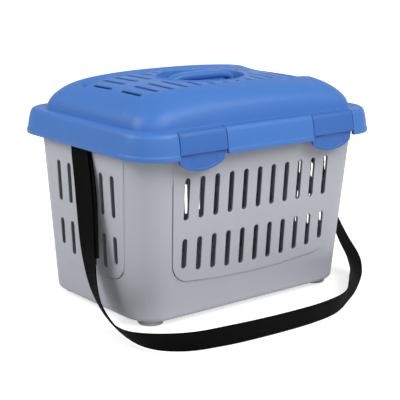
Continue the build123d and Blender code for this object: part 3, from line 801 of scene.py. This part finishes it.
# %% The dome's top, with its grille
ring = lid_grid[-1]
ring = ring[np.linalg.norm(ring - np.roll(ring, 1, axis=0), axis=1) > 1e-6]
grille_at = (np.arange(14) - 6.5) * GRILLE_PITCH
slot_end = np.interp(np.abs(grille_at), [82, 106, 129, 153], [75, 73, 67, 57])
slot_start = np.maximum(11.5, ISLAND_Y * np.sqrt(np.clip(1 - (grille_at / ISLAND_X) ** 2, 0, None)) + 2)
grille = np.stack([grille_at, slot_start, slot_end, GRILLE_HALF - 0.9 * (np.abs(grille_at) > 140)], 1)
grille = np.concatenate([grille, grille * [1, 0, 0, 1] - np.stack([0 * slot_end, slot_end, slot_start,
    0 * slot_end], 1)])
corner_turn = np.radians(np.arange(0, 91, 15))
bow_x = np.arange(144, -1, -12.0)[1:]
recess_edge = np.concatenate([
    [[RECESS_X, 0], [RECESS_X, 16], [RECESS_X, 32], [RECESS_X, 48]],
    np.stack([RECESS_X - 20 + 20 * np.cos(corner_turn), 58 + 20 * np.sin(corner_turn)], 1),
    np.stack([bow_x, RECESS_Y - RECESS_BOW * (bow_x / 128) ** 3], 1)])
recess_edge = np.concatenate([recess_edge, (recess_edge * [-1, 1])[-2::-1]])
recess_edge = np.concatenate([recess_edge, (recess_edge * [1, -1])[-2:0:-1]])


loops = [slot_loop(*slot, grow=g) for slot in grille for g in (0, 0.22, 0.6, 1.1)]
loops += [pulled(recess_edge, g) for g in (1.1, 0.4, -0.4, -1.1, -1.9)]
loops += [oval(70 + g, 60 + g) for g in (0, 1.7, 2.2, 3.0)]
spread = np.stack(np.meshgrid(np.arange(-171, 172, 9.0), np.arange(-108, 109, 9.0)), -1).reshape(-1, 2)
spread = spread[(box_gap(spread, 170, 108, 16) < -5) & (slot_gap(spread, grille) > 3) & (oval_gap(spread,
    76, 66) > 3)
                & (np.abs(outline_gap(spread, recess_edge)) > 3)]
top_flat, top_faces, from_ring = flat_net(
    ring[:, :2], loops, dots=spread, drop=lambda c: (slot_gap(c, grille) < 0) | (oval_gap(c, 70, 60) < 0))
top = np.concatenate([top_flat, dome_height(*top_flat.T, dome_reach(*top_flat.T))[:, None]], 1)
top[from_ring >= 0] = ring[from_ring[from_ring >= 0]]

# %% [markdown]
# The lid's skin is first laid without its small features. Every point then moves along its own
# outward direction: down into the grille's recess, up into a small fillet at the dish, and down at
# every rolled edge, round the slots and beside the clips. The inner skin lies 2.4 mm behind.

# %% The lid's two skins
lid_base, lid_faces = joined((lid_grid.reshape(-1, 3), lid_cells), (top, top_faces))
skirt_in = np.full((len(lid_base), 3), np.nan)
inner_rows = skirt_rows(SKIRT_IN).reshape(-1, 3)
skirt_in[:len(inner_rows)] = inner_rows
lid_base, skirt_in, lid_faces = welded(lid_base, skirt_in, lid_faces)
out = face_turns(lid_base, lid_faces)
flat, side = lid_base[:, :2], np.abs(lid_base)
high = lid_base[:, 2] > 290
sink = RECESS * soft_step(outline_gap(flat, recess_edge), 1.1) * high
seam_gap = np.hypot(np.maximum(np.maximum(NOTCH_IN - side[:, 0], side[:, 0] - NOTCH_OUT), 0),
                    np.maximum(NOTCH_BACK - side[:, 1], 0))
fold = 0.55 * np.exp(-((side[:, 1] - 70) / 2.6) ** 2) * np.clip((194.5 - side[:, 0]) / 3, 0, 1) * (
    np.clip((side[:, 0] - 171) / 14, 0, 1) ** 2) * (lid_base[:, 2] > 277)
roll = edge_roll(seam_gap, 1.2) * 0.7 * (side[:, 1] > 140) + edge_roll(slot_gap(flat, grille), 1.1) * high
fillet = 0.9 * np.clip(1 - (oval_gap(flat, 70, 60) - 1.6) / 1.6, 0, 1) ** 2 * high
lid_outer = lid_base + out * (fillet + fold - sink - roll)[:, None]
lid_inner = np.where(np.isnan(skirt_in), lid_base - out * (sink + 2.4)[:, None], skirt_in)
lid_skin = shell(lid_outer, lid_inner, lid_faces)


# %% The dish and the clips' bearings
def cup(rows, steps=96):
    """A closed bowl: rows of ellipses given as (half length, half width, height)."""
    turn = np.linspace(0, 2 * math.pi, steps, endpoint=False)
    rows = np.asarray(rows, float)
    points = np.stack([rows[:, :1] * np.cos(turn), rows[:, 1:2] * np.sin(turn), rows[:, 2:] + 0 * turn], -1)
    points, _, faces = welded(points.reshape(-1, 3), points.reshape(-1, 3),
        grid_cells(len(rows), steps).reshape(-1, 3))
    return points, faces


dish_rows = [(0, 0, 293.6), (40, 30, 293.6), (64, 54, 293.6), (66.6, 56.6, 293.9), (67.6, 57.6, 294.9),
    (71, 61, 318),
             (71.5, 61.5, 321.5), (71.3, 61.3, 322.3), (70.7, 60.7, 322.8), (69.8, 59.8, 323.0),
                 (69.0, 59.0, 322.8),
             (68.4, 58.4, 322.3), (68.0, 58.0, 321.4), (66.2, 56.2, 307), (65.3, 55.3, 299.5),
                 (64.6, 54.6, 297.6),
             (63, 53, 296.4), (60.5, 50.5, 296), (52, 42, 296), (30, 22, 296), (0, 0, 296)]
dish = cup(dish_rows)


def bearing(x, way, side):
    """One cheek beside a notch, with the hole that a clip's peg turns in."""
    foot = [(154.1, 264.4), (154.6, 240.7), (157.4, 240.7), (156.2, 253),
        (155.0, 264.4)] if side < 0 else [(154.0, 264.4)]
    block = np.array([(148.4, 264.4), *foot, (154.4, 266.2), (153.8, 268.6), (152.8, 271.2), (151.4, 273.2),
                      (149.8, 274.2), (148.4, 274.4)])
    peg = oval(1.7, 1.7, 24) + [151.2, 269.9]
    flat, faces, _ = flat_net(block, [peg], drop=lambda c: np.hypot(*(c - [151.2, 269.9]).T) < 1.7)
    near, away = (np.stack([np.full(len(flat), at), side * flat[:, 0], flat[:, 1]], 1) for at in (x,
        x + 4.2 * way))
    return outward(shell(near, away, faces if way * side < 0 else faces[:, ::-1]))


bearings = [bearing(end * at, end * way, side) for end in (-1, 1) for side in (-1, 1)
            for at, way in ((NOTCH_IN, -1), (NOTCH_OUT, 1))]
lid_shell = mesh_piece("lid_shell", joined(lid_skin, dish, *bearings), "lid_body",
    blue_plastic, ("lid",))

# %% [markdown]
# ## The swing clips
#
# A clip is as flush as the band that it fills, and its tongue hangs a step further back with a thumb
# mark pressed into it. Behind the tongue is the bar that catches under the tub's lip. Two pegs at the
# top turn in the lid's bearings. One clip is made in its own coordinates (along, out, up) and then
# set at each of the four places.
# Their darker blue is painted shade: they are the lid's plastic, and their tongues face down under the band.

# %% Clip
def bar(section, stations):
    """A closed bar: a flat section (out, up) carried along; stations are (along, pulled in by)."""
    section = np.asarray(section, float)
    if (section[:, 0] * (np.roll(section[:, 1], -1) - np.roll(section[:, 1], 1))).sum() < 0:
        section = section[::-1]
    way = np.roll(section, -1, axis=0) - np.roll(section, 1, axis=0)
    turn = np.stack([way[:, 1], -way[:, 0]], 1) / np.linalg.norm(way, axis=1, keepdims=True)
    rows = [np.concatenate([np.full((len(section), 1), at), section - turn * pull], 1) for at,
        pull in stations]
    _, faces, place = flat_net(rows[0][:, 1:])
    cap, last = place[faces], (len(rows) - 1) * len(section)
    cells = grid_cells(len(rows), len(section)).reshape(-1, 3)
    return outward((np.concatenate(rows), np.concatenate([cells, cap[:, ::-1], cap + last])))


def rounded_ends(half, radius):
    """Stations from -half to half with rounded ends."""
    near = [(half - radius * (1 - math.sin(a)), radius * (1 - math.cos(a))) for a in np.radians([0, 30, 60,
        90])]
    return [(-at, pull) for at, pull in near[::-1]] + near


CLIP_MIDDLE, CLIP_HALF = 121.0, 39.9
band_line = [(160 - 1.087 * q, z) for q, z in SKIRT_OUT[14:6:-1]]
clip_section = [
    (148.4, 270.6), (148.7, 271.5), (149.3, 272.3), (149.85, 273.3), (149.95, 275.1), (150.1, 275.6),
        *band_line,
    (158.5, 247.3), (158.2, 246.5), (157.6, 246.0),
    (153.2, 246.0), (152.9, 246.3), (152.9, 248.2), (155.3, 248.6), (153.2, 266.4), (152.4, 267.2),
        (151.2, 267.0),
    (149.75, 267.4), (148.7, 268.5), (148.3, 269.7)]
corner = np.radians([0, -15, -30, -45, -58.35])
sweep_x = np.linspace(36.84, 0, 12)[1:]
right_edge = np.concatenate([
    [[40, 247.6], [39.4, 241]], np.stack([35 + 3.5 * np.cos(corner), 234.9 + 3.5 * np.sin(corner)], 1),
    np.stack([sweep_x, 291.7 - np.sqrt(70.2**2 - sweep_x**2)], 1)])
tongue_outline = np.concatenate([right_edge[:-1] * [-1, 1], right_edge[::-1]])
thumb = [oval(26 + g, 10 + g, 64) + [0, 235] for g in (-1.2, -0.6, 0, 0.6)]
tongue_flat, tongue_faces, _ = flat_net(tongue_outline, [pulled(tongue_outline, g) for g in (0.35,
    1.0)] + thumb)
rim_gap = -outline_gap(tongue_flat, tongue_outline)
press = 0.8 * soft_step(oval_gap(tongue_flat - [0, 235], 25.7, 9.7), 0.9)
tongue_out = 155.0 - edge_roll(rim_gap, 1.0) - press
tongue = outward(shell(np.stack([tongue_flat[:, 0], tongue_out, tongue_flat[:, 1]], 1),
                       np.stack([tongue_flat[:, 0], 0 * tongue_out + 152.4, tongue_flat[:, 1]], 1),
                           tongue_faces))
hook = bar([(145.2, 245.5), (153.4, 245.5), (153.4, 247.7), (145.2, 247.7), (144.8, 247.3), (144.8, 245.9)],
    rounded_ends(30, 0.4))
peg = oval(1.6, 1.6, 24) + [151.2, 269.9]
pegs = bar(peg, [(-43.5, 0.3), (-43.2, 0), (43.2, 0), (43.5, 0.3)])
clip_points, clip_faces = joined(bar(clip_section, rounded_ends(CLIP_HALF, 0.6)), tongue, hook, pegs)
for label, end, side in (("front_left", -1, -1), ("front_right", 1, -1), ("rear_left", -1, 1),
    ("rear_right", 1, 1)):
    placed = clip_points * [1, side, 1] + [end * CLIP_MIDDLE, 0, 0]
    mesh_piece(f"swing_clip_{label}", (placed, clip_faces if side > 0 else clip_faces[:, ::-1]),
               f"clip_{label}_body", blue_plastic_painted_shade, (f"clip_{label}",))

# %% [markdown]
# ## The grip
#
# The grip bridges the dish. Its middle line is a flat arch, a superellipse that stands on the dish's
# floor, and its section is a rounded slab, a little thicker in the middle. Under the floor each leg
# ends in a snap foot.

# %% Grip
arch = np.linspace(0, math.pi, 97)
ARCH_HALF, ARCH_HIGH, ARCH_POWER = 58.0, 26.0, 5.0


def grip_line(t):
    """Middle line of the arch in its upright plane: a superellipse from the right foot to the left."""
    bend = 2 / ARCH_POWER
    return np.stack([ARCH_HALF * np.sign(np.cos(t)) * np.abs(np.cos(t)) ** bend,
                     296 + ARCH_HIGH * np.abs(np.sin(t)) ** bend], 1)


line = grip_line(arch)
step = np.concatenate([[0], np.cumsum(np.linalg.norm(np.diff(line, axis=0), axis=1))])
even = np.linspace(0, step[-1], 81)
line = np.stack([np.interp(even, step, line[:, k]) for k in range(2)], 1)
line[0, 1] = line[-1, 1] = 295.2
way = np.gradient(line, axis=0)
way /= np.linalg.norm(way, axis=1, keepdims=True)
upward = np.stack([-way[:, 1], way[:, 0]], 1) * -1
spin = np.linspace(0, 2 * math.pi, 32, endpoint=False)
swell = np.sin(even / step[-1] * math.pi) ** 2
thick = 5.0 + 1.6 * swell
wide = (8.4 + 1.3 * swell)[:, None] * np.sign(np.cos(spin)) * np.abs(np.cos(spin)) ** 0.8
deep = np.sign(np.sin(spin)) * np.abs(np.sin(spin)) ** 0.8
off = thick[:, None, None] * deep[None, :, None] * upward[:, None]
rows = np.stack([line[:, :1] + off[..., 0], wide, line[:, 1:] + off[..., 1]], -1)
cells = grid_cells(len(rows), len(spin)).reshape(-1, 3)
fan = np.arange(1, len(spin) - 1)
cap = np.stack([0 * fan, fan, fan + 1], 1)
grip = outward((rows.reshape(-1, 3), np.concatenate([cells, cap[:, ::-1],
    cap + (len(rows) - 1) * len(spin)])))
snap = [(0, 291.2), (3.4, 291.2), (4.0, 291.9), (4.0, 292.8), (3.0, 293.1), (3.0, 295.5), (0, 295.5)]
snaps = [turned(snap, (x, 0, 0), 24) for x in (-56, 56)]
mesh_piece("carry_grip", joined(grip, *snaps), "lid_body", blue_plastic, ("carry_handle",))

# %% [markdown]
# ## The strap's two ends
#
# At each end the webbing goes through the window in the tub's lip, round the lip's lower bar, and
# hangs down doubled behind the free run, a little to one side.

# %% Strap ends
TAIL_X, TAIL_SHIFT = 208.1, 7.0


def strap_end(name, side, numbers):
    """The webbing from behind the lid's skirt, round the lip's bar and down as the doubled tail."""
    middles, sides = STRAP_ROUTE[:, :3], STRAP_ROUTE[:, 3:]
    along = np.gradient(middles, axis=0)
    along /= np.linalg.norm(along, axis=1, keepdims=True)
    sides = sides - (sides * along).sum(1, keepdims=True) * along
    sides /= np.linalg.norm(sides, axis=1, keepdims=True)
    shifted = middles + sides * TAIL_SHIFT - np.cross(along, sides) * (STRAP_T + 0.3)
    loop = np.array([(212.4, 0, 240), (212.4, 0, 248), (212.4, 0, 256.6), (212.4, 0, 258.3),
                     (210.2, 0, 258.3), (TAIL_X, 0, 258.3), (TAIL_X, 0, 256.6), (TAIL_X, 0, 246),
                         (TAIL_X, 0, 236)])
    count = np.arange(len(middles))
    shifted, sides = (np.stack([np.interp(numbers, count, rows[:, k]) for k in range(3)],
        1) for rows in (shifted, sides))
    middle = np.concatenate([loop * [side, 1, 1], shifted])
    across = np.concatenate([np.tile([0.0, -1.0, 0.0], (len(loop), 1)), sides])
    edges = band_edges(middle, across, STRAP_W)
    points, faces, uv = band_skin(*edges, STRAP_T)
    return band_piece(name, outward((points, faces)), uv, f"strap_loop_{'left' if side < 0 else 'right'}")


strap_end("strap_end_left", -1, [2, 2.7, 3.4, 4, 4.35])
strap_end("strap_end_right", 1, [34, 33, 32])

# %% [markdown]
# ## Floor, light and backdrop
#
# The photograph is a plain studio picture on white. The floor is a pale matt sheet that keeps the
# carrier's soft shadow, and what the camera sees of floor and surroundings is lifted to white with the
# Light Path node, so no extra light falls on the carrier. A soft lamp on the left and a little behind
# gives the strap's shadow on the tub's end. A large one, high at the front right, lights the long side
# and the dome, and a weaker one at the front left fills the corner. The surroundings are brighter on
# the far side, as behind a white studio table, which gives the curved edges their soft light rim.

# %% Floor and world
floor_mesh = bpy.data.meshes.new("floor")
floor_mesh.from_pydata([(-6, -6, 0), (6, -6, 0), (6, 6, 0), (-6, 6, 0)], [], [(0, 1, 2, 3)])
floor = bpy.data.objects.new("floor", floor_mesh)
bpy.context.scene.collection.objects.link(floor)
floor_finish = bpy.data.materials.new("pale studio floor")
floor_finish.use_nodes = True
floor_tree = floor_finish.node_tree
floor_tree.nodes.remove(floor_tree.nodes["Principled BSDF"])
matt_floor = add_node(floor_tree, "ShaderNodeBsdfDiffuse", {"Color": (0.62, 0.62, 0.62, 1)})
light_path = add_node(floor_tree, "ShaderNodeLightPath")
seen = math_node(floor_tree, "MAXIMUM", light_path.outputs["Is Camera Ray"],
                 math_node(floor_tree, "MULTIPLY", light_path.outputs["Is Glossy Ray"], 0.6))
distance = add_node(floor_tree, "ShaderNodeVectorMath", {0: add_node(floor_tree,
    "ShaderNodeTexCoord").outputs["Object"]},
                    operation="LENGTH").outputs["Value"]
far_away = add_node(floor_tree, "ShaderNodeMapRange", {"Value": distance, "From Min": 0.4, "From Max": 1.4,
                                                       "To Min": 0.68, "To Max": 1.0})
lift = add_node(floor_tree, "ShaderNodeEmission", {"Strength": math_node(
    floor_tree, "MULTIPLY", seen, far_away.outputs["Result"])})
both = add_node(floor_tree, "ShaderNodeAddShader", {0: matt_floor.outputs[0], 1: lift.outputs[0]})
floor_tree.links.new(both.outputs[0], floor_tree.nodes["Material Output"].inputs["Surface"])
floor_mesh.materials.append(floor_finish)

world = bpy.data.worlds.new("studio")
bpy.context.scene.world = world
world.use_nodes = True
sky = world.node_tree
ambient = sky.nodes["Background"]
ambient.inputs["Color"].default_value = (1, 1, 1, 1)
way_out = add_node(sky, "ShaderNodeTexCoord").outputs["Generated"]
behind = add_node(sky, "ShaderNodeVectorMath", {0: way_out, 1: (0.72, 0.69, -0.35)},
    operation="DOT_PRODUCT").outputs["Value"]
glow = add_node(sky, "ShaderNodeMapRange", {"Value": behind, "From Min": 0.35, "From Max": 0.9,
                                            "To Min": 0.24, "To Max": 0.9}, interpolation_type="SMOOTHSTEP")
sky.links.new(glow.outputs["Result"], ambient.inputs["Strength"])
white = add_node(sky, "ShaderNodeBackground", {"Color": (1, 1, 1, 1), "Strength": 1.0})
sky_path = add_node(sky, "ShaderNodeLightPath")
pick = add_node(sky, "ShaderNodeMixShader", {0: sky_path.outputs["Is Camera Ray"], 1: ambient.outputs[0],
    2: white.outputs[0]})
sky.links.new(pick.outputs[0], sky.nodes["World Output"].inputs["Surface"])


# %% Lamps
def soft_lamp(name, place, aim, size, power):
    """A square area lamp at a place in metres, turned towards aim."""
    data = bpy.data.lights.new(name, "AREA")
    data.shape, data.size, data.energy = "SQUARE", size, power
    lamp = bpy.data.objects.new(name, data)
    bpy.context.scene.collection.objects.link(lamp)
    lamp.matrix_world = Matrix.Translation(place) @ (
        Vector(aim) - Vector(place)).to_track_quat("-Z", "Y").to_matrix().to_4x4()
    return lamp


soft_lamp("left_box", (-1.5, 0.65, 1.25), (-0.15, 0.0, 0.15), 0.9, 19)
soft_lamp("key_box", (0.6, -1.85, 2.15), (0.0, 0.0, 0.18), 2.2, 71)
soft_lamp("fill_box", (-1.3, -1.75, 1.8), (0.0, 0.0, 0.18), 1.8, 17)

bpy.context.scene.view_settings.view_transform = "Standard"
